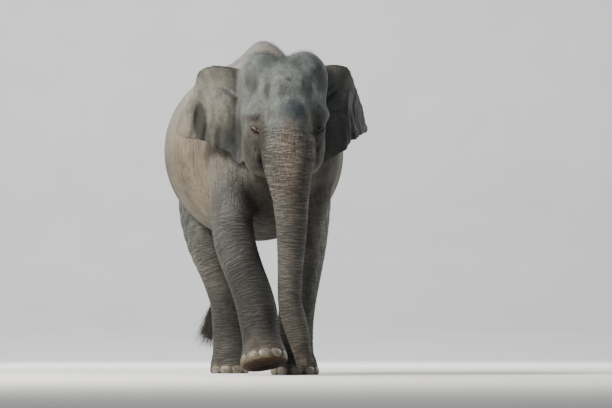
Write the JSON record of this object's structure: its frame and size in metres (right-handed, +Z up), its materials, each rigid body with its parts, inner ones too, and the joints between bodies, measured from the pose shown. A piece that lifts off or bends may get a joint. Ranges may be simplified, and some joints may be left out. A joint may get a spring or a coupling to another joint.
{
  "type": "asian elephant",
  "caption": "Life-size still model of a cow Asian elephant walking, one forefoot raised and about to land, trunk hanging.",
  "frame": {"origin": "middle of the bounding box, on the floor", "axes": "+Z up, -Y the way the elephant walks and faces, +X its own left side"},
  "size_m": [1.4368, 2.9064, 2.5098],
  "materials": {
    "skin": "matt, finely wrinkled, dry",
    "nail": "smooth, slightly worn horn",
    "eye": "wet gloss",
    "hair": "coarse bristle"
  },
  "bodies": {
    "root": {"ear_left": "skin", "ear_right": "skin", "eye_left": "eye", "eye_right": "eye", "fore_left_lower_leg": "skin", "fore_left_upper_leg": "skin", "fore_right_lower_leg": "skin", "fore_right_upper_leg": "skin", "head": "skin", "hind_left_lower_leg": "skin", "hind_left_upper_leg": "skin", "hind_right_lower_leg": "skin", "hind_right_upper_leg": "skin", "jaw": "skin", "nail_fore_left_1": "nail", "nail_fore_left_2": "nail", "nail_fore_left_3": "nail", "nail_fore_left_4": "nail", "nail_fore_left_5": "nail", "nail_fore_right_1": "nail", "nail_fore_right_2": "nail", "nail_fore_right_3": "nail", "nail_fore_right_4": "nail", "nail_fore_right_5": "nail", "nail_hind_left_1": "nail", "nail_hind_left_2": "nail", "nail_hind_left_3": "nail", "nail_hind_left_4": "nail", "nail_hind_right_1": "nail", "nail_hind_right_2": "nail", "nail_hind_right_3": "nail", "nail_hind_right_4": "nail", "neck": "skin", "tail": "skin", "tail_tuft": "hair", "torso": "skin", "trunk_lower": "skin", "trunk_middle": "skin", "trunk_root": "skin", "trunk_tip": "skin"}
  },
  "joints": []
}
